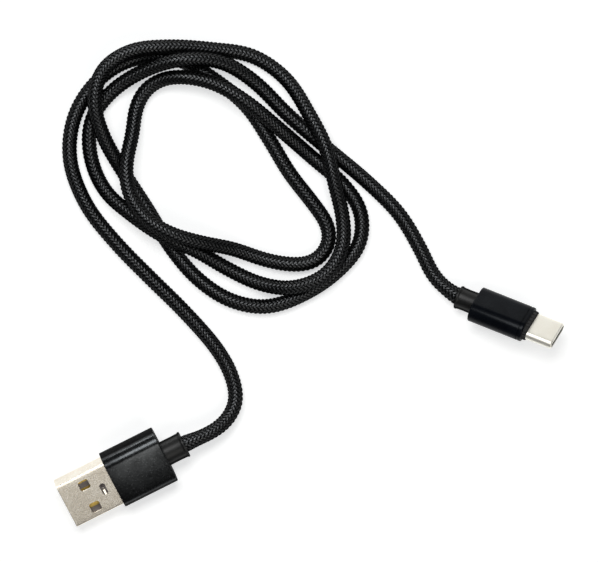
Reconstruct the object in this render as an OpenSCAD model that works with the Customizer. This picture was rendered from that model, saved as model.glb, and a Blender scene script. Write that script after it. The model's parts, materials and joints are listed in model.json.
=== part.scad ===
// Braided charging cable: a USB-A plug and a USB-C plug at the two ends of one round cable,
// which lies on the plane z = 0 in a loose bundle of loops.
// Millimetres, +Z up. The origin is under the middle of the box that holds the two plugs.
// In each plug's own frame +X points out of its mouth, +Y goes across its width, +Z through its
// thickness, and x = 0 is the front face of its housing.

/* [Cable] */
// Diameter over the braided sleeve
cable_d = 3.5; // [3.3:0.05:3.55]
// Thickness of the braided sleeve
braid_t = 0.35; // [0.3:0.01:0.38]
// Thickness of the jacket under the braid
jacket_t = 0.22; // [0.15:0.01:0.25]
// Diameter of each insulated conductor
wire_d = 0.7; // [0.5:0.05:0.75]
// Distance of each conductor from the centre line, both sideways and upwards
wire_offset = 0.45; // [0.4:0.01:0.47]

/* [USB-A plug] */
// Width of the metal shell
a_shell_w = 12; // [11.9:0.05:12.1]
// Thickness of the metal shell
a_shell_h = 4.5; // [4.4:0.05:4.6]
// Sheet thickness of the metal shell
a_sheet = 0.3; // [0.25:0.01:0.35]
// Length of shell that stands out of the housing
a_nose = 12.5; // [12:0.1:13]
// Width of the housing
a_housing_w = 14; // [13.8:0.1:15]
// Thickness of the housing
a_housing_h = 7.4; // [7.2:0.1:8]
// Length of the housing
a_housing_l = 14; // [14:0.1:16]
// Radius of the housing's long edges
a_housing_r = 2.5; // [1.5:0.1:3]
// Wall of the housing
a_housing_t = 0.7; // [0.5:0.05:0.8]
// Diameter of the strain relief
a_relief_d = 6.2; // [5.5:0.1:7]
// Length of strain relief behind the housing
a_relief_l = 5.2; // [4:0.1:6]
// Roll of the plug about its own length as it lies
a_roll = -25; // [-28:1:-20]

/* [USB-C plug] */
// Width of the metal shell
c_shell_w = 8.25; // [8.2:0.01:8.3]
// Thickness of the metal shell
c_shell_h = 2.4; // [2.38:0.01:2.44]
// Sheet thickness of the metal shell
c_sheet = 0.22; // [0.18:0.01:0.23]
// Length of shell that stands out of the collar
c_nose = 6.6; // [6.4:0.05:6.8]
// Width of the housing
c_housing_w = 9.9; // [9.8:0.1:11]
// Thickness of the housing
c_housing_h = 5.5; // [5.4:0.1:6]
// Length of the housing
c_housing_l = 13.8; // [13.8:0.1:16]
// Wall of the housing
c_housing_t = 0.6; // [0.4:0.05:0.65]
// Length of collar in front of the housing
c_collar_l = 1; // [0.6:0.1:1.5]
// Diameter of the strain relief
c_relief_d = 5.4; // [4.6:0.1:5.4]
// Length of strain relief behind the housing
c_relief_l = 4.5; // [3.5:0.1:5]
// Roll of the plug about its own length as it lies
c_roll = -42; // [-44:1:-36]

/* [Hidden] */
$fn = 48;

// Clearance between pieces that touch
gap = 0.02;
// Small length by which a cut runs past a face
past = 0.5;
// Number of sides of the coarse cable
cable_sides = 8;
// Number of sides of a coarse conductor
wire_sides = 4;

// Centre line of the cable from inside the USB-A plug to inside the USB-C plug. The first two points
// lie on the USB-A plug's axis and the last two on the USB-C plug's. The second point and the last
// but one are where the cable leaves its strain reliefs. Where strands cross, one rides over the other.
ROUTE = [
    // out of the USB-A plug, round and up the left side
    [-35.6, -11.8, 5.5], [-29.6, -8.8, 5.5], [-23.2, -6, 4.7], [-19.6, -3.2, 3.5],
    [-17.4, 1.4, 2.4], [-18.4, 7.2, 1.8], [-21.8, 13.5, 1.8], [-29.6, 22.5, 1.8],
    [-37.9, 30.7, 1.8], [-46, 39, 1.8], [-53, 48, 1.8], [-56.9, 58.5, 1.8], [-56.2, 68, 1.8],
    [-52.4, 75.3, 1.8],
    // lowest strand along the top, then down to the inner right-hand bend
    [-46, 81, 1.8], [-37.5, 83.5, 1.8], [-29.5, 82, 1.8], [-22, 77.5, 1.8], [-14.8, 71.5, 1.8],
    [-9.4, 63.5, 1.8], [-4.6, 55.5, 1.8], [0.7, 48.7, 1.8], [4.3, 43.4, 1.8], [4.9, 39.9, 1.8],
    [3.6, 36.7, 1.8],
    // back to the left over two strands, and up inside the loop
    [1, 34.5, 1.8], [-2.4, 33.8, 1.8], [-6.5, 34.1, 1.8], [-11, 35.1, 2], [-18, 37.5, 3.4],
    [-25.5, 39, 7], [-32.5, 41, 9.1], [-38.5, 44.5, 8.6], [-42.5, 50.3, 6.8], [-43.5, 57, 6],
    [-42, 65, 3.6], [-41.2, 71, 1.9], [-39.1, 75.2, 2.1], [-35.2, 77.8, 3],
    // over the lowest strand, down the right side and round the outside of the bottom
    [-29.8, 78.4, 4.8], [-22.6, 76.9, 5.4], [-15, 72.5, 5.8], [-7, 66, 4.1], [1, 59.1, 1.8],
    [8.2, 52.8, 1.8], [12.3, 46.3, 1.8], [12, 38.8, 1.8], [7.2, 32.6, 1.8], [-0.2, 27.3, 1.8],
    [-9.8, 23.8, 1.8], [-18.5, 25.2, 1.8], [-26.3, 30.2, 1.8], [-32.8, 37.7, 1.8], [-38.5, 47, 1.8],
    // up to the left, over two strands, and along the top edge
    [-44, 55.5, 1.8], [-49, 64.5, 4.7], [-51, 72.5, 6.4], [-49, 80, 5.6], [-42.5, 84.5, 5.4],
    [-33.5, 85.6, 4.6], [-23, 85, 2.8], [-13.5, 83.5, 1.8], [-5.5, 78, 2.2],
    // over two strands on the right, and back along the bottom
    [0, 69.5, 4.6], [4, 61.5, 5.9], [6.2, 52.6, 5.6], [8, 45, 4.2], [8, 38, 4.6], [4.2, 31.6, 5.4],
    [-3.5, 28.3, 4.6], [-11.5, 29.2, 2.4], [-19.4, 32.8, 2.2],
    // over one strand and under another, up the left side
    [-26.8, 37.1, 4.2], [-34.5, 40.5, 5.6], [-42, 45.5, 4.1], [-48.8, 51.7, 2], [-52.2, 60.4, 1.8],
    [-51.7, 68.5, 2], [-47, 75, 2.2],
    // along the top, down under one strand, and away to the USB-C plug
    [-39, 80, 4.6], [-30, 82.5, 7], [-20.8, 81.9, 5.2], [-13.1, 77.4, 2.6], [-5, 69.4, 1.8],
    [4.4, 61.4, 1.8], [13.4, 53.9, 1.8], [21.5, 45.8, 1.8], [26.5, 37.5, 1.8], [30, 30.7, 1.9],
    [35.5, 26.1, 3.1], [40.5, 24.1, 4.4]
];
route_end = len(ROUTE) - 1;

// Radii inside the cable
braid_r = cable_d / 2;
braid_bore_r = braid_r - braid_t;
jacket_r = braid_bore_r - gap;
jacket_bore_r = jacket_r - jacket_t;
wire_r = wire_d / 2;
// Length of bare jacket beyond the end of the braid
jacket_tail = 1.2;
// Bores that the braid and the jacket pass through
braid_hole_r = braid_r + gap;
jacket_hole_r = jacket_r + gap;

// Places and directions of the two plugs, from the ends of the cable
a_axis = ROUTE[0] - ROUTE[1];
a_heading = atan2(a_axis.y, a_axis.x);
a_front = ROUTE[1] + unit(a_axis) * (a_relief_l + a_housing_l);
c_axis = ROUTE[route_end] - ROUTE[route_end - 1];
c_heading = atan2(c_axis.y, c_axis.x);
c_pitch = atan2(c_axis.z, norm([c_axis.x, c_axis.y]));
c_front = ROUTE[route_end - 1] + unit(c_axis) * (c_relief_l + c_housing_l);

// Lip round the free end of both strain reliefs
lip_l = 0.5;
lip_t = 0.15;

// USB-A plug, inside
a_shell_r = 0.6;
a_shell_back = -5;
a_end_cap_t = 1.4;
a_end_cap_inset = 0.1;
a_mould_back = -a_housing_l + a_end_cap_inset + a_end_cap_t;
a_bezel_t = 1.2;
a_bezel_inset = 0.1;
a_bore_w = a_housing_w - 2 * a_housing_t;
a_bore_h = a_housing_h - 2 * a_housing_t;
a_bore_r = a_housing_r - a_housing_t;
a_relief_neck_r = 2.5;
// Windows with rounded corners in the shell, and behind them a small slot with a tab left in it
a_window = 2.5;
a_window_r = 0.5;
a_window_x = 6.35;
a_window_y = 3.2;
a_slot_x = 2.65;
a_slot_w = 3;
a_slot_l = 1.3;
a_slot_r = 0.5;
a_tab_w = 0.5;
a_tab_l = 1.9;
a_seam = 0.12;
// Insulator: full height at the back with a pocket under the slot, a tongue on the lower side in front
a_block_front = 3.4;
a_tongue_front = a_nose - 0.4;
a_tongue_top = -0.08;
a_pocket_t = 1.3;
// Contacts: sideways places, how far each stops short of the mouth, and where their tails end
A_CONTACT_Y = [-3.5, -1, 1, 3.5];
A_CONTACT_STOP = [1.2, 2.2, 2.2, 1.2];
a_contact_w = 1;
a_contact_t = 0.25;
a_contact_top = a_tongue_top + 0.05;
a_tail_back = -7.8;
// Room for tails and leads in the inner mould
a_room_back = -10.7;
a_room_w = 9.6;
a_room_h = 3.6;

// USB-C plug, inside
c_shell_back = -4;
c_end_cap_t = 1.3;
c_end_cap_inset = 0.1;
c_mould_back = -c_housing_l + c_end_cap_inset + c_end_cap_t;
c_bore_w = c_housing_w - 2 * c_housing_t;
c_bore_h = c_housing_h - 2 * c_housing_t;
c_collar_depth = 1;
c_mouth = c_collar_l + c_nose;
// Insulator and its slot
c_insulator_back = -2.8;
c_insulator_front = c_mouth - 0.6;
c_slot_back = 0.5;
c_slot_w = 6.2;
c_slot_h = 0.84;
// Contacts, on a 0.5 pitch: ground, power, configuration and data above, ground and power below
C_UPPER_Y = [-2.75, -1.25, -0.75, -0.25, 0.25, 1.25, 2.75];
C_LOWER_Y = [-2.75, -1.25, -0.75, 1.25, 2.75];
c_contact_w = 0.24;
c_contact_t = 0.1;
c_channel_w = 0.29;
c_channel_top = 0.8;
// Side latch arms and their cross piece
c_latch_y = 3.2;
c_latch_t = 0.2;
c_latch_h = 0.6;
c_latch_front = 5.8;
c_latch_back = -1.6;
c_bridge_t = 0.16;
c_bridge_l = 0.7;
// Ground springs at the mouth
c_ground_w = 5.2;
c_ground_l = 1.2;
c_ground_t = 0.12;
c_ground_back = c_insulator_front - 1.35;
// Board, the resistor on it, and the leads' landing places
c_board_back = -7.8;
c_board_w = 7;
c_board_t = 0.8;
c_resistor = [1, 0.5, 0.35];
c_resistor_x = -5.6;
C_LEAD_Y = [2.7, 0.9, -0.9, -2.7];
c_room_back = -10.7;
c_room_w = 7.3;
c_room_low = -0.9;
c_room_high = 1.3;

// ---- Vectors and frames ----

function unit(v) = v / norm(v);
function turned_x(p, a) = [p.x, p.y * cos(a) - p.z * sin(a), p.y * sin(a) + p.z * cos(a)];
function turned_y(p, a) = [p.x * cos(a) + p.z * sin(a), p.y, -p.x * sin(a) + p.z * cos(a)];
function turned_z(p, a) = [p.x * cos(a) - p.y * sin(a), p.x * sin(a) + p.y * cos(a), p.z];

// A point of each plug's own frame, in the cable's frame
function from_a(p) = a_front + turned_z(turned_x(p, a_roll), a_heading);
function from_c(p) = c_front + turned_z(turned_y(turned_x(p, c_roll), -c_pitch), c_heading);

module at_usb_a() {
    translate(a_front) rotate([0, 0, a_heading]) rotate([a_roll, 0, 0]) children();
}

module at_usb_c() {
    translate(c_front) rotate([0, 0, c_heading]) rotate([0, -c_pitch, 0]) rotate([c_roll, 0, 0])
        children();
}

// ---- Sweeps along the cable ----

// Direction of travel at point i of a path, and the level sideways direction there
function travel(path, i) = unit(path[min(i + 1, len(path) - 1)] - path[max(i - 1, 0)]);
function sideways(t) = unit([-t.y, t.x, 0]);

// The point beside point i of a path, moved sideways and upwards across the direction of travel
function beside(path, i, side, up) =
    let (t = travel(path, i), s = sideways(t)) path[i] + s * side + cross(t, s) * up;

function ring(path, i, r, sides) =
    [for (k = [0 : sides - 1]) beside(path, i, r * cos(360 * k / sides), r * sin(360 * k / sides))];

function rings(path, r, sides) =
    [for (i = [0 : len(path) - 1]) each ring(path, i, r, sides)];

// Wall between successive rings, first being the index of the first ring's first point
function wall(count, sides, first) =
    [for (i = [0 : count - 2]) for (k = [0 : sides - 1])
        let (a = first + i * sides, b = a + sides, n = (k + 1) % sides)
        [a + k, b + k, b + n, a + n]];

// Flat ring that closes a hollow tube between an outer and an inner ring
function rim(outer, inner, sides) =
    [for (k = [0 : sides - 1]) let (n = (k + 1) % sides)
        [outer + k, outer + n, inner + n, inner + k]];

function reversed(list) = [for (i = [len(list) - 1 : -1 : 0]) list[i]];
function flipped(faces) = [for (f = faces) reversed(f)];
function steps(first, count) = [for (i = [0 : count - 1]) first + i];

module hollow_sweep(path, r_out, r_in, sides) {
    count = len(path);
    inner = count * sides;
    last = inner - sides;
    polyhedron(
        points = concat(rings(path, r_out, sides), rings(path, r_in, sides)),
        faces = concat(
            wall(count, sides, 0),
            flipped(wall(count, sides, inner)),
            rim(0, inner, sides),
            flipped(rim(last, inner + last, sides))),
        convexity = 10);
}

module solid_sweep(path, r, sides) {
    count = len(path);
    polyhedron(
        points = rings(path, r, sides),
        faces = concat(
            wall(count, sides, 0),
            [steps(0, sides)],
            [reversed(steps((count - 1) * sides, sides))]),
        convexity = 10);
}

// The cable's centre line made longer by d at both ends
function lengthened(d) = concat(
    [ROUTE[0] + unit(a_axis) * d], ROUTE, [ROUTE[route_end] + unit(c_axis) * d]);

// Centre line of one conductor: from its USB-A tail, along its own lane of the cable, to its place on
// the USB-C board. side and up are +1 or -1, a_y and c_y its places in the two plugs.
function lead_path(side, up, a_y, c_y) =
    let (o = wire_offset, a_z = a_contact_top + wire_r + gap, c_z = c_board_t / 2 + wire_r + gap)
    concat(
        [from_a([-6.6, a_y, a_z]), from_a([-7.7, a_y, a_z]), from_a([-10, -side * o, up * o])],
        [for (i = [0 : route_end]) beside(ROUTE, i, side * o, up * o)],
        [from_c([-10, side * o, up * o]), from_c([-8, c_y, c_z]), from_c([-6.8, c_y, c_z])]);

// ---- Shared shapes, extruded along X ----

module along_x(from, to) {
    translate([from, 0, 0]) rotate([90, 0, 90]) linear_extrude(to - from) children();
}

module rounded_outline(w, h, r) {
    square([w - 2 * r, h], center = true);
    square([w, h - 2 * r], center = true);
    for (x = [-1, 1], y = [-1, 1]) translate([x * (w / 2 - r), y * (h / 2 - r)]) circle(r);
}

module stadium(w, h) {
    square([w - h, h], center = true);
    for (x = [-1, 1]) translate([x * (w - h) / 2, 0]) circle(h / 2);
}

// A box between two x values, w wide and from low to high
module slab(from, to, w, low, high) {
    translate([from, -w / 2, low]) cube([to - from, w, high - low]);
}

module bore(from, to, r) {
    along_x(from, to) circle(r);
}

// ---- USB-A plug ----

module usb_a_shell() {
    color("silver") at_usb_a() difference() {
        along_x(a_shell_back, a_nose) rounded_outline(a_shell_w, a_shell_h, a_shell_r);
        along_x(a_shell_back - past, a_nose + past)
            rounded_outline(a_shell_w - 2 * a_sheet, a_shell_h - 2 * a_sheet, a_shell_r - a_sheet);
        for (y = [-1, 1]) translate([a_window_x, y * a_window_y, -a_shell_h])
            linear_extrude(2 * a_shell_h) rounded_outline(a_window, a_window, a_window_r);
        translate([a_slot_x, 0, 0]) linear_extrude(a_shell_h) difference() {
            rotate(90) rounded_outline(a_slot_w, a_slot_l, a_slot_r);
            translate([-a_tab_w / 2, a_slot_w / 2 - a_tab_l]) square([a_tab_w, a_slot_w]);
        }
        slab(a_shell_back - past, a_nose + past, a_seam, -a_shell_h, -a_shell_h / 2 + 2 * a_sheet);
    }
}

module usb_a_insulator() {
    w = a_shell_w - 2 * a_sheet - 2 * gap;
    h = a_shell_h - 2 * a_sheet - 2 * gap;
    color("dimgray") at_usb_a() difference() {
        union() {
            along_x(a_shell_back, a_block_front) rounded_outline(w, h, a_shell_r - a_sheet);
            intersection() {
                along_x(a_block_front, a_tongue_front) rounded_outline(w, h, a_shell_r - a_sheet);
                slab(0, a_nose, a_shell_w, -h, a_tongue_top);
            }
        }
        translate([a_slot_x, 0, h / 2 - a_pocket_t]) linear_extrude(h)
            rotate(90) rounded_outline(a_slot_w, a_slot_l, a_slot_r);
        for (i = [0 : 3]) translate([0, A_CONTACT_Y[i], 0])
            slab(a_shell_back - past, a_nose - A_CONTACT_STOP[i] + gap, a_contact_w + 2 * gap,
                a_contact_top - a_contact_t - gap, a_contact_top + gap);
    }
}

module usb_a_contact(i) {
    color("gold") at_usb_a() translate([0, A_CONTACT_Y[i], 0])
        slab(a_tail_back, a_nose - A_CONTACT_STOP[i], a_contact_w,
            a_contact_top - a_contact_t, a_contact_top);
}

module usb_a_contact_power() { usb_a_contact(0); }
module usb_a_contact_data_minus() { usb_a_contact(1); }
module usb_a_contact_data_plus() { usb_a_contact(2); }
module usb_a_contact_ground() { usb_a_contact(3); }

// Plastic plate that closes the housing round the shell
module usb_a_bezel() {
    color("black") at_usb_a() difference() {
        along_x(-a_bezel_inset - a_bezel_t, -a_bezel_inset)
            rounded_outline(a_bore_w - 2 * gap, a_bore_h - 2 * gap, a_bore_r);
        along_x(-a_housing_l, past)
            rounded_outline(a_shell_w + 2 * gap, a_shell_h + 2 * gap, a_shell_r);
    }
}

// Metal sleeve of the plug, open at both ends
module usb_a_housing() {
    color("darkslategray") at_usb_a() difference() {
        along_x(-a_housing_l, 0) rounded_outline(a_housing_w, a_housing_h, a_housing_r);
        along_x(-a_housing_l - past, past) rounded_outline(a_bore_w, a_bore_h, a_bore_r);
    }
}

module usb_a_inner_mould() {
    front = -a_bezel_inset - a_bezel_t - gap;
    color("ivory") at_usb_a() difference() {
        along_x(a_mould_back + gap, front)
            rounded_outline(a_bore_w - 2 * gap, a_bore_h - 2 * gap, a_bore_r);
        along_x(a_shell_back - gap, past)
            rounded_outline(a_shell_w + 2 * gap, a_shell_h + 2 * gap, a_shell_r);
        slab(a_room_back, a_shell_back + past, a_room_w, -a_room_h / 2, a_room_h / 2);
        bore(a_mould_back - past, a_room_back + past, jacket_hole_r);
        bore(a_mould_back - past, a_mould_back + 0.8, braid_hole_r);
    }
}

module usb_a_end_cap() {
    color("black") at_usb_a() difference() {
        along_x(-a_housing_l + a_end_cap_inset, a_mould_back)
            rounded_outline(a_bore_w - 2 * gap, a_bore_h - 2 * gap, a_bore_r);
        bore(-a_housing_l - past, 0, a_relief_neck_r + gap);
    }
}

module usb_a_strain_relief() {
    color("black") at_usb_a() difference() {
        union() {
            bore(-a_housing_l - a_relief_l, -a_housing_l - gap, a_relief_d / 2);
            bore(-a_housing_l - a_relief_l, -a_housing_l - a_relief_l + lip_l, a_relief_d / 2 + lip_t);
            bore(-a_housing_l - gap, a_mould_back, a_relief_neck_r);
        }
        bore(-a_housing_l - a_relief_l - past, past, braid_hole_r);
    }
}

// ---- USB-C plug ----

module usb_c_shell() {
    color("silver") at_usb_c() difference() {
        along_x(c_shell_back, c_mouth) stadium(c_shell_w, c_shell_h);
        along_x(c_shell_back - past, c_mouth + past)
            stadium(c_shell_w - 2 * c_sheet, c_shell_h - 2 * c_sheet);
    }
}

module usb_c_insulator() {
    w = c_shell_w - 2 * c_sheet - 2 * gap;
    h = c_shell_h - 2 * c_sheet - 2 * gap;
    color("black") at_usb_c() difference() {
        along_x(c_insulator_back, c_insulator_front) stadium(w, h);
        slab(c_slot_back, c_mouth, c_slot_w, -c_slot_h / 2, c_slot_h / 2);
        for (y = C_UPPER_Y) translate([0, y, 0])
            slab(c_insulator_back - past, c_mouth, c_channel_w, c_slot_h / 2 - 0.06, c_channel_top);
        for (y = C_LOWER_Y) translate([0, y, 0])
            slab(c_insulator_back - past, c_mouth, c_channel_w, -c_channel_top, 0.06 - c_slot_h / 2);
        for (y = [-1, 1]) translate([0, y * c_latch_y, 0])
            slab(c_latch_back - gap, c_mouth, c_latch_t + 0.1, -c_latch_h / 2 - gap, c_latch_h / 2 + gap);
        slab(c_latch_back - gap, c_latch_back + c_bridge_l + gap, 2 * c_latch_y,
            -c_bridge_t / 2 - gap, c_bridge_t / 2 + gap);
        for (z = [0, 1]) mirror([0, 0, z])
            slab(c_ground_back - gap, c_insulator_front + past, c_ground_w + 0.1,
                h / 2 - c_ground_t - gap, h);
    }
}

// One contact seen from the side: soldered on the board, up through the insulator, and a bent nose
module c_contact_profile() {
    rise = c_board_t / 2 + gap;
    bed = c_channel_top - c_contact_t - 0.06;
    polygon([
        [-4.6, rise], [-3.1, rise], [-2.4, bed], [5.2, bed], [5.8, bed - 0.15], [6.3, bed],
        [6.3, bed + c_contact_t], [5.8, bed - 0.05], [5.2, bed + c_contact_t],
        [-2.5, bed + c_contact_t], [-3.2, rise + c_contact_t], [-4.6, rise + c_contact_t]
    ]);
}

module usb_c_contact_row(places, z_sign) {
    color("gold") at_usb_c() mirror([0, 0, z_sign < 0 ? 1 : 0])
        for (y = places) translate([0, y + c_contact_w / 2, 0]) rotate([90, 0, 0])
            linear_extrude(c_contact_w) c_contact_profile();
}

module usb_c_contacts_upper() { usb_c_contact_row(C_UPPER_Y, 1); }
module usb_c_contacts_lower() { usb_c_contact_row(C_LOWER_Y, -1); }

// Two arms with a detent bump each, joined by a cross piece behind the slot
module usb_c_latch_spring() {
    color("silver") at_usb_c() {
        slab(c_latch_back, c_latch_back + c_bridge_l, 2 * c_latch_y, -c_bridge_t / 2, c_bridge_t / 2);
        for (s = [0, 1]) mirror([0, s, 0]) translate([0, 0, -c_latch_h / 2])
            linear_extrude(c_latch_h) polygon([
                [c_latch_back, c_latch_y + c_latch_t / 2], [c_latch_front, c_latch_y + c_latch_t / 2],
                [c_latch_front, c_latch_y], [c_latch_front - 0.5, c_latch_y - 0.3],
                [c_latch_front - 1, c_latch_y - c_latch_t / 2],
                [c_latch_back, c_latch_y - c_latch_t / 2]
            ]);
    }
}

module usb_c_ground_springs() {
    top = c_shell_h / 2 - c_sheet - 2 * gap;
    color("silver") at_usb_c() for (z = [0, 1]) mirror([0, 0, z])
        slab(c_ground_back, c_ground_back + c_ground_l, c_ground_w, top - c_ground_t, top);
}

module usb_c_board() {
    color("darkgreen") at_usb_c()
        slab(c_board_back, c_insulator_back - gap, c_board_w, -c_board_t / 2, c_board_t / 2);
}

module usb_c_resistor() {
    color("black") at_usb_c() translate([c_resistor_x, -c_resistor.y / 2, c_board_t / 2])
        cube(c_resistor);
}

// Plastic collar round the shell, part inside the housing and part in front of it
module usb_c_collar() {
    color("black") at_usb_c() difference() {
        along_x(-c_collar_depth, c_collar_l) stadium(c_bore_w - 2 * gap, c_bore_h - 2 * gap);
        along_x(-c_housing_l, c_mouth) stadium(c_shell_w + 2 * gap, c_shell_h + 2 * gap);
    }
}

// Metal sleeve of the plug, open at both ends
module usb_c_housing() {
    color("darkslategray") at_usb_c() difference() {
        along_x(-c_housing_l, 0) stadium(c_housing_w, c_housing_h);
        along_x(-c_housing_l - past, past) stadium(c_bore_w, c_bore_h);
    }
}

module usb_c_inner_mould() {
    color("ivory") at_usb_c() difference() {
        along_x(c_mould_back + gap, -c_collar_depth - gap) stadium(c_bore_w - 2 * gap, c_bore_h - 2 * gap);
        along_x(c_shell_back - gap, past) stadium(c_shell_w + 2 * gap, c_shell_h + 2 * gap);
        slab(c_room_back, c_shell_back + past, c_room_w, c_room_low, c_room_high);
        bore(c_mould_back - past, c_room_back + past, jacket_hole_r);
        bore(c_mould_back - past, c_mould_back + 0.8, braid_hole_r);
    }
}

module usb_c_end_cap() {
    color("black") at_usb_c() difference() {
        along_x(-c_housing_l + c_end_cap_inset, c_mould_back)
            stadium(c_bore_w - 2 * gap, c_bore_h - 2 * gap);
        bore(-c_housing_l - past, 0, braid_hole_r);
    }
}

module usb_c_strain_relief() {
    color("black") at_usb_c() difference() {
        union() {
            bore(-c_housing_l - c_relief_l, -c_housing_l - gap, c_relief_d / 2);
            bore(-c_housing_l - c_relief_l, -c_housing_l - c_relief_l + lip_l, c_relief_d / 2 + lip_t);
        }
        bore(-c_housing_l - c_relief_l - past, past, braid_hole_r);
    }
}

// ---- Cable ----

module braided_sleeve() {
    color("black") hollow_sweep(ROUTE, braid_r, braid_bore_r, cable_sides);
}

module cable_jacket() {
    color("dimgray") hollow_sweep(lengthened(jacket_tail), jacket_r, jacket_bore_r, cable_sides);
}

module conductor(side, up, i) {
    solid_sweep(lead_path(side, up, A_CONTACT_Y[i], C_LEAD_Y[i]), wire_r, wire_sides);
}

module conductor_power() { color("red") conductor(1, 1, 0); }
module conductor_data_minus() { color("white") conductor(1, -1, 1); }
module conductor_data_plus() { color("green") conductor(-1, -1, 2); }
module conductor_ground() { color("black") conductor(-1, 1, 3); }

usb_a_shell();
usb_a_insulator();
usb_a_contact_power();
usb_a_contact_data_minus();
usb_a_contact_data_plus();
usb_a_contact_ground();
usb_a_bezel();
usb_a_housing();
usb_a_inner_mould();
usb_a_end_cap();
usb_a_strain_relief();
usb_c_shell();
usb_c_insulator();
usb_c_contacts_upper();
usb_c_contacts_lower();
usb_c_latch_spring();
usb_c_ground_springs();
usb_c_board();
usb_c_resistor();
usb_c_collar();
usb_c_housing();
usb_c_inner_mould();
usb_c_end_cap();
usb_c_strain_relief();
braided_sleeve();
cable_jacket();
conductor_power();
conductor_data_minus();
conductor_data_plus();
conductor_ground();
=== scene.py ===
"""Braided USB-A to USB-C charging cable, seen from straight above on a white table.

Everything is in metres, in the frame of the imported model. Sizes written in millimetres are
multiplied by MM where they are used. Each plug is built in its own frame: +X out of its mouth, +Y
across its width, +Z through its thickness, x = 0 at the front face of its housing.
"""
import json
import math

import bmesh
import bpy
import numpy as np
from mathutils import Matrix, Vector

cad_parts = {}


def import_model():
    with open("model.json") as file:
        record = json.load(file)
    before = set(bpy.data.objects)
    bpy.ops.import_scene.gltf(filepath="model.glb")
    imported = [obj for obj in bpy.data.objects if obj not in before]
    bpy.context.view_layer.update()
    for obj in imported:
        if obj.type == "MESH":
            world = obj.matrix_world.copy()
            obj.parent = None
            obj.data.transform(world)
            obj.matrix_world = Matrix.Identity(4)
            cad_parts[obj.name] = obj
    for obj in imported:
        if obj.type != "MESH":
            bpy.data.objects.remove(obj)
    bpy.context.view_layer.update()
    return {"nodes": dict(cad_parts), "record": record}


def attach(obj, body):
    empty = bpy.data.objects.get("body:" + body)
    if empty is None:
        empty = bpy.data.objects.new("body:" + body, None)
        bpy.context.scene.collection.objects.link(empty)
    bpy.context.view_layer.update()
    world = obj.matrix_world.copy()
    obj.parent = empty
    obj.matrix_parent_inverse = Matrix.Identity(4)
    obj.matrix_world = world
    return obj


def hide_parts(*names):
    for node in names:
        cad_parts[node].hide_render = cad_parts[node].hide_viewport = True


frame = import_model()
MM = 0.001

# ---- The cable's route, in millimetres, and the two plugs at its ends ----

ROUTE = [
    # out of the USB-A plug, round and up the left side
    (-35.6, -11.8, 5.5), (-29.6, -8.8, 5.5), (-23.2, -6, 4.7), (-19.6, -3.2, 3.5),
    (-17.4, 1.4, 2.4), (-18.4, 7.2, 1.8), (-21.8, 13.5, 1.8), (-29.6, 22.5, 1.8),
    (-37.9, 30.7, 1.8), (-46, 39, 1.8), (-53, 48, 1.8), (-56.9, 58.5, 1.8), (-56.2, 68, 1.8),
    (-52.4, 75.3, 1.8),
    # lowest strand along the top, then down to the inner right-hand bend
    (-46, 81, 1.8), (-37.5, 83.5, 1.8), (-29.5, 82, 1.8), (-22, 77.5, 1.8), (-14.8, 71.5, 1.8),
    (-9.4, 63.5, 1.8), (-4.6, 55.5, 1.8), (0.7, 48.7, 1.8), (4.3, 43.4, 1.8), (4.9, 39.9, 1.8),
    (3.6, 36.7, 1.8),
    # back to the left over two strands, and up inside the loop
    (1, 34.5, 1.8), (-2.4, 33.8, 1.8), (-6.5, 34.1, 1.8), (-11, 35.1, 2), (-18, 37.5, 3.4),
    (-25.5, 39, 7), (-32.5, 41, 9.1), (-38.5, 44.5, 8.6), (-42.5, 50.3, 6.8), (-43.5, 57, 6),
    (-42, 65, 3.6), (-41.2, 71, 1.9), (-39.1, 75.2, 2.1), (-35.2, 77.8, 3),
    # over the lowest strand, down the right side and round the outside of the bottom
    (-29.8, 78.4, 4.8), (-22.6, 76.9, 5.4), (-15, 72.5, 5.8), (-7, 66, 4.1), (1, 59.1, 1.8),
    (8.2, 52.8, 1.8), (12.3, 46.3, 1.8), (12, 38.8, 1.8), (7.2, 32.6, 1.8), (-0.2, 27.3, 1.8),
    (-9.8, 23.8, 1.8), (-18.5, 25.2, 1.8), (-26.3, 30.2, 1.8), (-32.8, 37.7, 1.8), (-38.5, 47, 1.8),
    # up to the left, over two strands, and along the top edge
    (-44, 55.5, 1.8), (-49, 64.5, 4.7), (-51, 72.5, 6.4), (-49, 80, 5.6), (-42.5, 84.5, 5.4),
    (-33.5, 85.6, 4.6), (-23, 85, 2.8), (-13.5, 83.5, 1.8), (-5.5, 78, 2.2),
    # over two strands on the right, and back along the bottom
    (0, 69.5, 4.6), (4, 61.5, 5.9), (6.2, 52.6, 5.6), (8, 45, 4.2), (8, 38, 4.6), (4.2, 31.6, 5.4),
    (-3.5, 28.3, 4.6), (-11.5, 29.2, 2.4), (-19.4, 32.8, 2.2),
    # over one strand and under another, up the left side
    (-26.8, 37.1, 4.2), (-34.5, 40.5, 5.6), (-42, 45.5, 4.1), (-48.8, 51.7, 2), (-52.2, 60.4, 1.8),
    (-51.7, 68.5, 2), (-47, 75, 2.2),
    # along the top, down under one strand, and away to the USB-C plug
    (-39, 80, 4.6), (-30, 82.5, 7), (-20.8, 81.9, 5.2), (-13.1, 77.4, 2.6), (-5, 69.4, 1.8),
    (4.4, 61.4, 1.8), (13.4, 53.9, 1.8), (21.5, 45.8, 1.8), (26.5, 37.5, 1.8), (30, 30.7, 1.9),
    (35.5, 26.1, 3.1), (40.5, 24.1, 4.4),
]
ROUTE = np.array(ROUTE, dtype=float)

CABLE_R = 1.75
A_CROWN = 0.34  # how far the middle of the USB-A housing's broad faces stands proud
A_RELIEF, A_HOUSING, A_ROLL = 5.2, 14.0, -25.0
C_RELIEF, C_HOUSING, C_ROLL = 4.5, 13.8, -42.0


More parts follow.
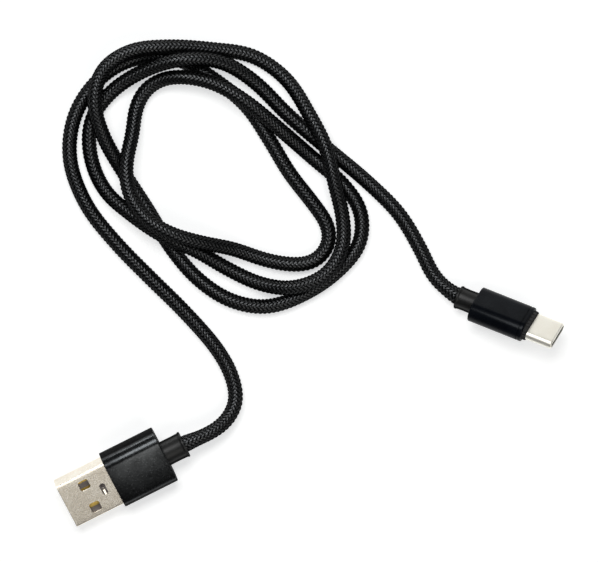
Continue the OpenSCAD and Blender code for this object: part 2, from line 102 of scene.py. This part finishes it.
def plug_matrix(inner, leaving, behind, roll):
    """A plug's own frame, in metres: inner and leaving are the two route points on its axis, behind
    the length from where the cable leaves to the housing's front face."""
    axis = Vector(inner - leaving).normalized()
    front = (Vector(leaving) + axis * behind) * MM
    heading = math.atan2(axis.y, axis.x)
    pitch = math.asin(axis.z)
    turn = (
        Matrix.Rotation(heading, 4, "Z")
        @ Matrix.Rotation(-pitch, 4, "Y")
        @ Matrix.Rotation(math.radians(roll), 4, "X")
    )
    return Matrix.Translation(front) @ turn


USB_A = plug_matrix(ROUTE[0], ROUTE[1], A_RELIEF + A_HOUSING, A_ROLL)
USB_C = plug_matrix(ROUTE[-1], ROUTE[-2], C_RELIEF + C_HOUSING, C_ROLL)

# ---- Camera: straight down, far off, so that the view is nearly flat ----

VIEW_CENTRE = (-2.4, 29.9)
VIEW_WIDTH = 142.4
CAMERA_HEIGHT = 1500.0
SENSOR = 36.0

camera_data = bpy.data.cameras.new("camera")
camera_data.sensor_width = SENSOR
camera_data.lens = SENSOR * (CAMERA_HEIGHT - CABLE_R) / VIEW_WIDTH
camera_data.clip_start = 0.05
camera_data.clip_end = 20
camera = bpy.data.objects.new("camera", camera_data)
camera.location = (VIEW_CENTRE[0] * MM, VIEW_CENTRE[1] * MM, CAMERA_HEIGHT * MM)
bpy.context.scene.collection.objects.link(camera)
bpy.context.scene.camera = camera


# ---- Material helpers ----


class Shader:
    """A material with one Principled shader, and short calls that make and link its nodes."""

    def __init__(self, name, **sockets):
        self.material = bpy.data.materials.new(name)
        self.material.use_nodes = True
        self.tree = self.material.node_tree
        self.bsdf = self.tree.nodes["Principled BSDF"]
        for socket, value in sockets.items():
            self.bsdf.inputs[socket.replace("_", " ")].default_value = value

    def node(self, kind, **settings):
        made = self.tree.nodes.new("ShaderNode" + kind)
        for key, value in settings.items():
            if hasattr(made, key):
                setattr(made, key, value)
            else:
                made.inputs[key.replace("_", " ")].default_value = value
        return made

    def link(self, source, target):
        self.tree.links.new(source, target)

    def place(self):
        return self.node("TexCoord").outputs["Object"]

    def noise(self, scale, detail):
        made = self.node("TexNoise", Scale=scale, Detail=detail)
        self.link(self.place(), made.inputs["Vector"])
        return made.outputs["Fac"]

    def ramp(self, factor, stops):
        made = self.node("ValToRGB")
        elements = made.color_ramp.elements
        while len(elements) < len(stops):
            elements.new(0.5)
        for element, (position, colour) in zip(elements, stops):
            element.position = position
            element.color = (*colour, 1)
        self.link(factor, made.inputs["Fac"])
        return made.outputs["Color"]

    def span(self, factor, low, high, at_low, at_high):
        made = self.node("MapRange", From_Min=low, From_Max=high, To_Min=at_low, To_Max=at_high)
        self.link(factor, made.inputs["Value"])
        return made.outputs["Result"]

    def math(self, operation, a, b):
        made = self.node("Math", operation=operation)
        for socket, value in zip(made.inputs, (a, b)):
            if isinstance(value, (int, float)):
                socket.default_value = value
            else:
                self.link(value, socket)
        return made.outputs["Value"]

    def bump(self, height, distance, strength):
        made = self.node("Bump", Strength=strength, Distance=distance)
        self.link(height, made.inputs["Height"])
        return made.outputs["Normal"]

    def sheen(self, level, face_on=0.34, edge_on=0.5, least=0.02):
        """Reflection by level, a value or a socket, dying away where the surface turns edge-on."""
        facing = self.node("LayerWeight", Blend=0.5).outputs["Facing"]
        fall = self.span(facing, face_on, edge_on, 1.0, least)
        self.link(self.math("MULTIPLY", fall, level), self.bsdf.inputs["Specular IOR Level"])


def grey(value):
    return (value, value, value)


FILAMENTS = 5  # ridges of yarn across one strand
COOL_TINT = (0.94, 0.97, 1.0, 1)  # tint of the nylon's reflections
ANODISED_TINT = (0.9, 0.96, 1.0, 1)


def braid_material():
    """Black nylon yarn: strands are bundles of filaments, glossier along their crests; the colour
    carries painted shade, darkest at each strand's edges where it dips under its neighbours.
    """
    m = Shader("braid_nylon")
    m.bsdf.inputs["Specular Tint"].default_value = COOL_TINT
    uv = m.node("UVMap", uv_map="strand").outputs["UV"]
    axes = m.node("SeparateXYZ")
    m.link(uv, axes.inputs["Vector"])
    across = axes.outputs["X"]
    edge = m.math("ABSOLUTE", across, 0.0)
    # painted shade: the base colour darkens from a strand's crest towards its edges, where the
    # strands meet
    tone = m.ramp(edge, [(0.1, (0.003, 0.0032, 0.0036)), (0.45, (0.0006, 0.0006, 0.0006))])
    m.link(tone, m.bsdf.inputs["Base Color"])
    m.sheen(m.span(edge, 0.14, 0.42, 0.74, 0.02), 0.16, 0.5, 0.02)
    filaments = m.math("SINE", m.math("MULTIPLY", across, 2 * math.pi * FILAMENTS), 0.0)
    fuzz = m.noise(9000, 3)
    height = m.math("ADD", m.math("MULTIPLY", filaments, 0.5), fuzz)
    rub = m.noise(1150, 2)
    wear = m.math("ADD", m.math("MULTIPLY", fuzz, 0.35), m.math("MULTIPLY", rub, 0.65))
    m.link(m.span(wear, 0.36, 0.64, 0.2, 0.44), m.bsdf.inputs["Roughness"])
    m.link(m.bump(height, 0.015 * MM, 0.6), m.bsdf.inputs["Normal"])
    return m.material


def anodised_material(name, dark, light, fleck, gloss, rough, speckle, fall):
    """Bead-blasted, dyed aluminium: a fine satin grain with brighter specks and a slow drift.
    fall is what sheen takes after its level."""
    m = Shader(name)
    grain = m.noise(speckle, 4)
    drift = m.noise(260, 2)
    mix = m.math("ADD", m.math("MULTIPLY", grain, 0.6), m.math("MULTIPLY", drift, 0.4))
    m.link(m.ramp(mix, [(0.4, dark), (0.54, light), (0.64, fleck)]), m.bsdf.inputs["Base Color"])
    m.link(m.span(grain, 0.3, 0.7, *rough), m.bsdf.inputs["Roughness"])
    m.bsdf.inputs["Specular Tint"].default_value = ANODISED_TINT
    m.sheen(m.span(mix, 0.38, 0.62, *gloss), *fall)
    m.link(m.bump(grain, 0.012 * MM, 0.15), m.bsdf.inputs["Normal"])
    return m.material


def nickel_material(name, dark, light, rough, mottle):
    """Nickel-plated sheet, drawn and handled: mottled in tone and polish, with a slow drift."""
    m = Shader(name, Metallic=1.0)
    cloud = m.noise(mottle, 6)
    drift = m.noise(220, 2)
    tone = m.math("ADD", m.math("MULTIPLY", cloud, 0.55), m.math("MULTIPLY", drift, 0.45))
    m.link(m.ramp(tone, [(0.4, dark), (0.6, light)]), m.bsdf.inputs["Base Color"])
    m.link(m.span(cloud, 0.3, 0.7, *rough), m.bsdf.inputs["Roughness"])
    m.link(m.bump(cloud, 0.006 * MM, 0.12), m.bsdf.inputs["Normal"])
    return m.material


def moulded_material(name, dark, light, rough=(0.5, 0.65)):
    """Moulded plastic or laminate with a fine spark-eroded texture."""
    m = Shader(name)
    m.sheen(0.38)
    grain = m.noise(7000, 3)
    m.link(m.ramp(grain, [(0.35, dark), (0.65, light)]), m.bsdf.inputs["Base Color"])
    m.link(m.span(grain, 0.3, 0.7, *rough), m.bsdf.inputs["Roughness"])
    m.link(m.bump(grain, 0.01 * MM, 0.6), m.bsdf.inputs["Normal"])
    return m.material


def metal_material(name, dark, light, rough=(0.18, 0.3), metallic=1.0):
    """Small bright metal pieces: contacts and springs."""
    m = Shader(name, Metallic=metallic)
    cloud = m.noise(2500, 3)
    m.link(m.ramp(cloud, [(0.3, dark), (0.7, light)]), m.bsdf.inputs["Base Color"])
    m.link(m.span(cloud, 0.3, 0.7, *rough), m.bsdf.inputs["Roughness"])
    return m.material


MATERIALS = {
    "braid_nylon": braid_material(),
    "plug_shell": nickel_material("plug_shell", (0.79, 0.73, 0.62), (0.89, 0.84, 0.74),
                                  rough=(0.235, 0.28), mottle=1700),
    "usb_c_shell": nickel_material("usb_c_shell", (0.95, 0.92, 0.83), (1.0, 0.98, 0.90),
                                   rough=(0.46, 0.52), mottle=6000),
    "usb_a_housing_metal": anodised_material(
        "usb_a_housing_metal",
        dark=(0.001, 0.0011, 0.0012), light=(0.002, 0.0022, 0.0023), fleck=(0.005, 0.0053, 0.0053),
        gloss=(0.33, 0.74), rough=(0.22, 0.28), speckle=2400, fall=(0.34, 0.5, 0.02)),
    "usb_c_housing_metal": anodised_material(
        "usb_c_housing_metal",
        dark=(0.0018, 0.0024, 0.0038), light=(0.003, 0.004, 0.0062), fleck=(0.005, 0.006, 0.008),
        gloss=(0.08, 0.11), rough=(0.24, 0.28), speckle=6000, fall=(0.5, 0.9, 0.3)),
    "relief_plastic": moulded_material(
        "relief_plastic", (0.002, 0.0022, 0.0022), (0.0035, 0.004, 0.004), rough=(0.4, 0.48)),
    "trim_plastic": moulded_material("trim_plastic", grey(0.008), grey(0.02)),
    "tongue_plastic": moulded_material("tongue_plastic", (0.34, 0.30, 0.29), (0.44, 0.40, 0.39)),
    "slot_plastic": moulded_material("slot_plastic", grey(0.008), grey(0.014)),
    "contact_gold": metal_material("contact_gold", (0.83, 0.56, 0.10), (1.0, 0.74, 0.22),
                                   rough=(0.3, 0.4), metallic=0.45),
    "spring_steel": metal_material("spring_steel", (0.5, 0.49, 0.47), (0.68, 0.67, 0.64)),
    "mould_plastic": moulded_material("mould_plastic", (0.70, 0.66, 0.54), (0.80, 0.77, 0.66)),
    "board_laminate": moulded_material(
        "board_laminate", (0.01, 0.12, 0.05), (0.02, 0.18, 0.08), rough=(0.25, 0.4)),
    "resistor_body": moulded_material("resistor_body", grey(0.012), grey(0.03), rough=(0.2, 0.3)),
}


# ---- Mesh helpers ----


def new_piece(name, mesh, material, body="root", smooth_angle=35):
    """Links a mesh as a piece of the object that rides on a body, with crisp edges kept crisp."""
    mesh.validate()
    for polygon in mesh.polygons:
        polygon.use_smooth = True
    mesh.set_sharp_from_angle(angle=math.radians(smooth_angle))
    mesh.materials.append(MATERIALS[material])
    piece = bpy.data.objects.new(name, mesh)
    bpy.context.scene.collection.objects.link(piece)
    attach(piece, body)
    return piece


def outline(width, height, radius, per_corner=10, crown=0.0, per_side=10):
    """Points of a rounded rectangle in (y, z), the same number for every size. crown is how far the
    middle of its two long sides stands proud."""
    radius = min(radius, width / 2, height / 2)
    points = []
    for corner in range(4):
        sy = 1 if corner in (0, 3) else -1
        sz = 1 if corner in (0, 1) else -1
        for k in range(per_corner + 1):
            a = math.pi / 2 * (corner + k / per_corner)
            points.append((
                sy * (width / 2 - radius) + radius * math.cos(a),
                sz * (height / 2 - radius) + radius * math.sin(a),
            ))
        if corner in (0, 2):
            y, z = points[-1]
            points += [(y - 2 * y * k / per_side, z) for k in range(1, per_side)]
    return [(y, z + math.copysign(crown * (1 - (2 * y / width) ** 2), z)) for y, z in points]


def circle_points(radius, count=48):
    """Points of a circle in (y, z)."""
    turns = [2 * math.pi * k / count for k in range(count)]
    return [(radius * math.cos(a), radius * math.sin(a)) for a in turns]


def ring_mesh(name, matrix, rings, wrap):
    """A mesh through rings of points, in millimetres in a plug's frame. With wrap the last ring
    joins the first, which makes a sleeve with a wall; otherwise both ends are capped."""
    bm = bmesh.new()
    rings = [[bm.verts.new(matrix @ (Vector(point) * MM)) for point in ring] for ring in rings]
    following = rings[1:] + rings[:1] if wrap else rings[1:]
    for a, b in zip(rings, following):
        for k in range(len(a)):
            n = (k + 1) % len(a)
            bm.faces.new((a[k], a[n], b[n], b[k]))
    if not wrap:
        bm.faces.new(list(reversed(rings[0])))
        bm.faces.new(rings[-1])
    bmesh.ops.recalc_face_normals(bm, faces=bm.faces)
    mesh = bpy.data.meshes.new(name)
    bm.to_mesh(mesh)
    bm.free()
    return mesh


def loft(matrix, stations):
    """A sleeve through stations (x, outline): out along its outside and back along its inside."""
    rings = [[(x, y, z) for y, z in points] for x, points in stations]
    return ring_mesh("loft", matrix, rings, wrap=True)


def quarter(bevel, steps=4):
    """Quarter circle of a rounded rim, as (distance along, inset), from its face to its side."""
    turn = [math.pi / 2 * k / steps for k in range(steps + 1)]
    return [(bevel * math.cos(a), bevel * (1 - math.sin(a))) for a in turn]


def sleeve_stations(shape, back, front, wall, bevels, grooves=()):
    """Stations of a sleeve with rounded rims. shape(inset) is its outline moved in by inset, and
    grooves are (x, width, depth)."""
    rear_bevel, front_bevel = bevels
    rear = [(back + rear_bevel - dx, inset) for dx, inset in quarter(rear_bevel)]
    ahead = [(front - front_bevel + dx, inset) for dx, inset in reversed(quarter(front_bevel))]
    cut = []
    for x, width, depth in grooves:
        cut += [(x, 0), (x + 0.2 * width, depth), (x + 0.8 * width, depth), (x + width, 0)]
    inside = [(front, wall), (back, wall)]
    return [(x, shape(inset)) for x, inset in rear + cut + ahead + inside]


# ---- The cable: a 2/2 braid laid as a lattice of its own strands ----

STRANDS = 10  # strands wound each way
STITCH = 1.0  # length along the cable from one strand to the next
SUBSTEPS = 2  # vertices per strand width
VALLEY_R, CREST_R = 1.57, 1.84
TWIST_TURNS = 1.6  # how far the columns of stitches wander round the cable over its whole length
EVENING = 90  # rounds of averaging that even out the bends between the route's points
STRAND_LEAN = math.radians(19)  # how far a strand's sides turn away, and its ends dip
STRAND_DIP = math.radians(9)
BULGE = 0.16  # the braid is pushed up where it leaves each strain relief
BULGE_LENGTH = 2.6
TABLE_GAP = 0.01  # least height of the braid's crests above the table


def smooth_curve(points, per_span=24):
    """Centripetal Catmull-Rom curve through the points."""
    ends = [2 * points[0] - points[1]], [2 * points[-1] - points[-2]]
    p = np.concatenate([ends[0], points, ends[1]])
    out = []
    for i in range(1, len(p) - 2):
        p0, p1, p2, p3 = p[i - 1], p[i], p[i + 1], p[i + 2]
        t1 = np.linalg.norm(p1 - p0) ** 0.5
        t2 = t1 + np.linalg.norm(p2 - p1) ** 0.5
        t3 = t2 + np.linalg.norm(p3 - p2) ** 0.5
        for t in t1 + (t2 - t1) * np.arange(per_span) / per_span:
            a1 = (t1 - t) / t1 * p0 + t / t1 * p1
            a2 = (t2 - t) / (t2 - t1) * p1 + (t - t1) / (t2 - t1) * p2
            a3 = (t3 - t) / (t3 - t2) * p2 + (t - t2) / (t3 - t2) * p3
            b1 = (t2 - t) / t2 * a1 + t / t2 * a2
            b2 = (t3 - t) / (t3 - t1) * a2 + (t - t1) / (t3 - t1) * a3
            out.append((t2 - t) / (t2 - t1) * b1 + (t - t1) / (t2 - t1) * b2)
    out.append(p[-2])
    return np.array(out)


def evenly_spaced(points, step):
    """The curve resampled at even steps, and the length from its start at each."""
    gaps = np.linalg.norm(np.diff(points, axis=0), axis=1)
    along = np.concatenate([[0], np.cumsum(gaps)])
    count = int(along[-1] / step)
    at = np.linspace(0, along[-1], count + 1)
    return np.stack([np.interp(at, along, points[:, k]) for k in range(3)], axis=1), at


def frames_along(points):
    """Two unit vectors across the curve at each point, carried along it without twisting."""
    tangent = np.gradient(points, axis=0)
    tangent /= np.linalg.norm(tangent, axis=1)[:, None]
    side = np.empty_like(points)
    first = np.cross((0, 0, 1), tangent[0])
    side[0] = first / np.linalg.norm(first)
    for i in range(1, len(points)):
        v = side[i - 1] - tangent[i] * (side[i - 1] @ tangent[i])
        side[i] = v / np.linalg.norm(v)
    return side, np.cross(tangent, side)


def cell_height(u, v):
    """Height, 0 to 1, of the strand on top at braid coordinates u and v."""
    i, j = np.floor(u), np.floor(v)
    over = np.mod(i - j, 4)
    a_on_top = over < 2
    across = np.where(a_on_top, u - i - 0.5, v - j - 0.5)
    # how far along its two-cell float the top strand is, -1 to 1
    along_a = np.where(over == 0, v - j, v - j - 1)
    along_b = np.where(over == 2, u - i - 1, u - i)
    along = np.where(a_on_top, along_a, along_b)
    return np.cos(math.pi * across) ** 0.8 * (0.25 + 0.75 * np.cos(math.pi / 2 * along))


def lattice_height(u, v):
    """The highest of the cells that meet at a lattice point."""
    nudge = 1e-6
    return np.max([
        cell_height(u + du, v + dv) for du in (-nudge, nudge) for dv in (-nudge, nudge)
    ], axis=0)


def braided_cord():
    """The braid's mesh, and its centre line."""
    row_step = STITCH / (2 * SUBSTEPS)
    centre, at = evenly_spaced(smooth_curve(ROUTE), row_step)
    for _ in range(EVENING):
        centre[1:-1] = (centre[:-2] + 2 * centre[1:-1] + centre[2:]) / 4
    centre[:, 2] = np.maximum(centre[:, 2], CREST_R + TABLE_GAP)
    side, up = frames_along(centre)
    rows, per_row = len(centre), STRANDS * SUBSTEPS
    row = np.repeat(np.arange(rows), per_row)
    column = 2 * np.tile(np.arange(per_row), rows) + row % 2
    u = (row + column) / (2 * SUBSTEPS)
    v = (row - column) / (2 * SUBSTEPS)
    radius = VALLEY_R + (CREST_R - VALLEY_R) * lattice_height(u, v)
    s = at[row]
    leaving = np.linalg.norm(ROUTE[1] - ROUTE[0]), at[-1] - np.linalg.norm(ROUTE[-1] - ROUTE[-2])
    for place in leaving:
        radius *= 1 + BULGE * np.exp(-(((s - place) / BULGE_LENGTH) ** 2)) * (
            (s - leaving[0] > 0) & (s - leaving[1] < 0))
    angle = 2 * math.pi * (column / (2 * per_row) + TWIST_TURNS * s / at[-1])
    points = centre[row] + radius[:, None] * (
        np.cos(angle)[:, None] * side[row] + np.sin(angle)[:, None] * up[row])

    def index(r, c):
        return r * per_row + (c // 2) % per_row

    r = np.repeat(np.arange(rows - 2), per_row)
    c = 2 * np.tile(np.arange(per_row), rows - 2) + r % 2
    quads = np.stack(
        [index(r, c), index(r + 1, c + 1), index(r + 2, c), index(r + 1, c - 1)], axis=1)
    # the middle of each quad says which strand is on top there
    mid_u, mid_v = (r + 1 + c) / (2 * SUBSTEPS), (r + 1 - c) / (2 * SUBSTEPS)
    corner_u = np.stack([r + c, r + c + 2, r + c + 2, r + c], axis=1) / (2 * SUBSTEPS)
    corner_v = np.stack([r - c, r - c, r - c + 2, r - c + 2], axis=1) / (2 * SUBSTEPS)
    i, j = np.floor(mid_u)[:, None], np.floor(mid_v)[:, None]
    a_on_top = np.mod(i - j, 4) < 2
    across = np.where(a_on_top, corner_u - i - 0.5, corner_v - j - 0.5)
    first_half = np.isin(np.mod(i - j, 4), (0, 3))
    along = np.where(a_on_top, corner_v - j, corner_u - i) - np.where(first_half, 0, 1)

    # strands are shaded round: normals lean out to each side of a strand and down at its ends
    radial = np.cos(angle)[:, None] * side[row] + np.sin(angle)[:, None] * up[row]
    round_it = np.cos(angle)[:, None] * up[row] - np.sin(angle)[:, None] * side[row]
    forward = np.cross(side, up)[row]
    row_w, column_w = row_step, math.pi * CREST_R / per_row
    lie = math.hypot(row_w, column_w)
    sign = np.where(a_on_top, 1.0, -1.0)[..., None]
    f, t, n = forward[quads], round_it[quads], radial[quads]
    outward = (f * column_w + sign * t * row_w) / lie
    lengthwise = (f * row_w - sign * t * column_w) / lie
    lean = 2 * across[..., None] * math.sin(STRAND_LEAN)
    dip = along[..., None] * math.sin(STRAND_DIP)
    normals = n * np.sqrt(1 - lean**2 - dip**2) + outward * lean + lengthwise * dip

    caps = []
    first_cap, last_cap = len(points), len(points) + 1
    for k in range(per_row):
        caps.append((first_cap, index(0, 2 * k + 2), index(1, 2 * k + 1)))
        caps.append((first_cap, index(1, 2 * k + 1), index(0, 2 * k)))
        last = rows - 1
        odd = last % 2
        caps.append((last_cap, index(last, 2 * k + odd), index(last - 1, 2 * k + odd + 1)))
        caps.append((last_cap, index(last - 1, 2 * k + odd + 1), index(last, 2 * k + odd + 2)))
    points = np.concatenate([points, centre[:1], centre[-1:]])
    mesh = bpy.data.meshes.new("braided_cord")
    mesh.from_pydata((points * MM).tolist(), [], quads.tolist() + caps)
    uv = mesh.uv_layers.new(name="strand")
    corners = np.zeros((len(mesh.loops), 2), dtype=np.float32)
    corners[: 4 * len(quads), 0] = across.ravel()
    corners[: 4 * len(quads), 1] = along.ravel()
    uv.data.foreach_set("uv", corners.ravel())
    mesh.update()
    return mesh, centre, normals.reshape(-1, 3)


cord_mesh, centre_line, strand_normals = braided_cord()
cord = new_piece("braided_cord", cord_mesh, "braid_nylon", smooth_angle=180)
corner_normals = np.zeros((len(cord_mesh.loops), 3))
corner_normals[: len(strand_normals)] = strand_normals
cord_mesh.normals_split_custom_set(corner_normals.tolist())
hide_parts("braided_sleeve", "cable_jacket", "conductor_power", "conductor_data_minus",
            "conductor_data_plus", "conductor_ground")

# ---- CAD nodes that keep their shape ----

slot_of = {s["node"]: s["material_slot"] for s in frame["record"]["subparts"]}
for name, node in frame["nodes"].items():
    material = MATERIALS.get(slot_of[name], MATERIALS["trim_plastic"])
    if not node.material_slots:
        node.data.materials.append(material)
    for material_slot in node.material_slots:
        material_slot.material = material

# ---- Plug housings, collar, strain reliefs and shells ----

# width, height and corner radius of each outline
A_HOUSING_SIZE, A_SHELL_SIZE = (14, 7.4, 2.5), (12, 4.5, 0.5)
C_HOUSING_SIZE, C_SHELL_SIZE = (9.9, 5.5, 2.75), (8.25, 2.4, 1.2)
A_HOUSING_WALL, A_SHEET = 0.7, 0.29
C_HOUSING_WALL, C_SHEET = 0.6, 0.22
A_RELIEF_R, C_RELIEF_R = 3.1, 2.7
A_SHELL_BACK, A_MOUTH = -5, 12.5  # the shell's two ends
C_SHELL_BACK, C_MOUTH = -4, 1 + 6.6
C_CROWN = 0.03
C_GROOVE = (-1.15, 0.34, 0.2)  # start, width and depth of the groove behind the housing's front
C_ROLL_R = 0.42  # radius of the shell's rolled mouth
A_WINDOW, A_WINDOW_X, A_WINDOW_Y = 2.5, 6.35, 3.2
A_SLOT_X, A_SLOT_L, A_SLOT_W = 2.65, 1.3, 3
A_CUT_R = 0.5  # corners of the windows and the slot
A_TAB_X = 2.72


def smaller(size, inset, *args, **kwargs):
    """The outline of a given size, moved in by inset all round."""
    width, height, radius = size
    return outline(width - 2 * inset, height - 2 * inset, radius - inset, *args, **kwargs)


def usb_a_housing():
    def shape(inset):
        return smaller(A_HOUSING_SIZE, inset, crown=A_CROWN)

    mesh = loft(USB_A, sleeve_stations(shape, -A_HOUSING, 0, A_HOUSING_WALL, (0.32, 0.14)))
    piece = new_piece("usb_a_housing_sleeve", mesh, "usb_a_housing_metal")
    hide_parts("usb_a_housing")


def usb_c_housing():
    def shape(inset):
        return smaller(C_HOUSING_SIZE, inset, 14, crown=C_CROWN)

    stations = sleeve_stations(shape, -C_HOUSING, 0, C_HOUSING_WALL, (0.25, 0.3), [C_GROOVE])
    piece = new_piece("usb_c_housing_sleeve", loft(USB_C, stations), "usb_c_housing_metal")
    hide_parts("usb_c_housing")


def usb_c_collar():
    """Ribbed plastic collar between the housing and the nose."""
    rib = 0.12

    def shape(width, height, depth):
        points = outline(width, height, height / 2, 20, per_side=16)
        ribbed = []
        for k, (y, z) in enumerate(points):
            drop = depth if k % 4 < 2 else 0
            nearest = max(-(width - height) / 2, min((width - height) / 2, y))
            out = Vector((y - nearest, z)).normalized()
            ribbed.append((y - drop * out[0], z - drop * out[1]))
        return ribbed

    stations = [
        (-0.9, shape(8.66, 4.26, rib)),
        (0.62, shape(8.66, 4.26, rib)),
        (0.86, shape(8.5, 4.1, rib)),
        (0.98, shape(8.2, 3.8, 0)),
        (0.99, shape(8.3, 2.45, 0)),
        (-0.9, shape(8.3, 2.45, 0)),
    ]
    piece = new_piece("usb_c_collar_ribbed", loft(USB_C, stations), "trim_plastic",
                      smooth_angle=20)
    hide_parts("usb_c_collar")


def strain_relief(name, matrix, housing, length, radius, node):
    """Moulded sleeve round the cable, a little fuller at the housing, with a lip at its end."""
    end = -housing - length
    profile = [
        (-housing + 0.9, radius - 0.3), (-housing + 0.1, radius - 0.3), (-housing + 0.05, radius),
        (-housing - 0.3, radius), (-housing - 0.5 * length, radius - 0.04), (end + 0.9, radius),
        (end + 0.55, radius + 0.04), (end + 0.4, radius + 0.16), (end + 0.12, radius + 0.16),
        (end, radius + 0.04), (end, CABLE_R + 0.35), (end + 0.25, CABLE_R + 0.12),
        (-housing + 0.9, CABLE_R + 0.12),
    ]
    mesh = loft(matrix, [(x, circle_points(r)) for x, r in profile])
    piece = new_piece(name, mesh, "relief_plastic")
    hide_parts(node)


def without(mesh, cutters):
    """The mesh with the volumes of other meshes taken out of it."""
    body = bpy.data.objects.new("body", mesh)
    bpy.context.scene.collection.objects.link(body)
    tools = []
    for cutter in cutters:
        tool = bpy.data.objects.new("cutter", cutter)
        bpy.context.scene.collection.objects.link(tool)
        cut = body.modifiers.new("cut", "BOOLEAN")
        cut.object = tool
        cut.solver = "EXACT"
        tools.append(tool)
    bpy.context.view_layer.update()
    result = bpy.data.meshes.new_from_object(body.evaluated_get(
        bpy.context.evaluated_depsgraph_get()))
    for tool in (body, *tools):
        bpy.data.objects.remove(tool)
    return result


def prism(matrix, middle, width, length, radius, low, high):
    """A rounded upright prism in a plug's frame, length long in x and width wide in y."""
    across = outline(width, length, radius, 5, per_side=1)
    rings = [[(middle[0] + b, middle[1] + a, z) for a, b in across] for z in (low, high)]
    return ring_mesh("prism", matrix, rings, wrap=False)


def sheet_edges(piece, width):
    """A narrow bevel on the cut edges of sheet metal, so that they catch the light."""
    bevel = piece.modifiers.new("soft edges", "BEVEL")
    bevel.width = width * MM
    bevel.segments = 2
    bevel.limit_method = "ANGLE"
    bevel.angle_limit = math.radians(50)
    weighted = piece.modifiers.new("even shading", "WEIGHTED_NORMAL")
    weighted.keep_sharp = True


def usb_a_shell():
    """Folded sheet with two windows on each broad side, and a slot with a tab bent out of it."""
    def shape(inset):
        return smaller(A_SHELL_SIZE, inset, 8)

    body = loft(USB_A, [
        (A_SHELL_BACK, shape(0)), (A_MOUTH - 0.08, shape(0)), (A_MOUTH - 0.02, shape(0.03)),
        (A_MOUTH, shape(0.09)), (A_MOUTH, shape(A_SHEET)), (A_SHELL_BACK, shape(A_SHEET)),
    ])
    cutters = [
        prism(USB_A, (A_WINDOW_X, y), A_WINDOW, A_WINDOW, A_CUT_R, -4, 4)
        for y in (-A_WINDOW_Y, A_WINDOW_Y)
    ]
    cutters.append(prism(USB_A, (A_SLOT_X, 0), A_SLOT_W, A_SLOT_L, A_CUT_R, 0.5, 4))
    piece = new_piece("usb_a_shell_sheet", without(body, cutters), "plug_shell")
    sheet_edges(piece, 0.06)
    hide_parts("usb_a_shell")
    # the tab runs in from the slot's far end, dips, and rises again
    path = [(1.62, 2.1), (1.2, 2.1), (0.7, 1.96), (0.2, 1.9), (-0.2, 1.95), (-0.42, 1.98)]
    rings = []
    for k, (y, z) in enumerate(path):
        half = 0.26 if k < len(path) - 1 else 0.18
        section = ((-half, 0.1), (half, 0.1), (half, -0.12), (-half, -0.12))
        rings.append([(A_TAB_X + dx, y, z + dz) for dx, dz in section])
    mesh = ring_mesh("tab", USB_A, rings, wrap=False)
    sheet_edges(new_piece("usb_a_shell_tab", mesh, "plug_shell"), 0.05)


def usb_c_shell():
    """Seamless drawn shell, with a rolled edge at its mouth."""
    def shape(inset):
        return smaller(C_SHELL_SIZE, inset, 14)

    start, bend = C_MOUTH - C_ROLL_R, C_ROLL_R - C_SHEET
    turns = [math.radians(15 * k) for k in range(7)]
    outside = [(start + C_ROLL_R * math.sin(a), C_ROLL_R * (1 - math.cos(a))) for a in turns]
    inside = [(start + bend * math.sin(a), C_ROLL_R - bend * math.cos(a)) for a in turns[::-1]]
    stations = [(C_SHELL_BACK, 0), *outside, *inside, (C_SHELL_BACK, C_SHEET)]
    body = loft(USB_C, [(x, shape(inset)) for x, inset in stations])
    piece = new_piece("usb_c_shell_drawn", body, "plug_shell")
    piece.material_slots[0].material = MATERIALS["usb_c_shell"]
    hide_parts("usb_c_shell")


usb_a_housing()
usb_c_housing()
usb_c_collar()
strain_relief("usb_a_relief", USB_A, A_HOUSING, A_RELIEF, A_RELIEF_R, "usb_a_strain_relief")
strain_relief("usb_c_relief", USB_C, C_HOUSING, C_RELIEF, C_RELIEF_R, "usb_c_strain_relief")
usb_a_shell()
usb_c_shell()

# ---- Table and light ----


def table():
    mesh = bpy.data.meshes.new("table")
    half = 3.0
    mesh.from_pydata([(-half, -half, 0), (half, -half, 0), (half, half, 0), (-half, half, 0)], [],
                     [(0, 1, 2, 3)])
    white = Shader("table_white", Roughness=0.9, Specular_IOR_Level=0.0, Emission_Strength=0.595)
    white.bsdf.inputs["Base Color"].default_value = (0.70, 0.70, 0.69, 1)
    white.bsdf.inputs["Emission Color"].default_value = (0.975, 0.987, 1.0, 1)
    mesh.materials.append(white.material)
    obj = bpy.data.objects.new("table", mesh)
    bpy.context.scene.collection.objects.link(obj)


def softbox(name, place, aim, size, radiance, colour=(1, 1, 1)):
    data = bpy.data.lights.new(name, "AREA")
    data.shape = "RECTANGLE"
    data.size, data.size_y = size
    data.energy = radiance * math.pi * size[0] * size[1]
    data.color = colour
    light = bpy.data.objects.new(name, data)
    light.location = place
    light.rotation_mode = "QUATERNION"
    light.rotation_quaternion = (Vector(aim) - Vector(place)).to_track_quat("-Z", "Y")
    bpy.context.scene.collection.objects.link(light)


def world(strength):
    made = bpy.data.worlds.new("studio")
    made.use_nodes = True
    background = made.node_tree.nodes["Background"]
    background.inputs["Color"].default_value = (0.97, 0.985, 1.0, 1)
    background.inputs["Strength"].default_value = strength
    bpy.context.scene.world = made


table()
world(0.07)
MIDDLE = (0, 0.03, 0)
softbox("key", (-0.12, 0.37, 0.93), MIDDLE, (0.6, 0.38), 7.5)
softbox("front card", (0.22, -0.40, 0.70), MIDDLE, (0.44, 0.38), 2.6, (1.0, 0.97, 0.93))
softbox("back card", (0.14, 0.95, 0.12), MIDDLE, (0.8, 0.34), 1.15, (1.0, 0.98, 0.94))
softbox("left card", (-0.45, 0.92, 0.10), MIDDLE, (0.35, 0.14), 8.0)
bpy.context.scene.view_settings.view_transform = "Standard"

bpy.context.view_layer.update()
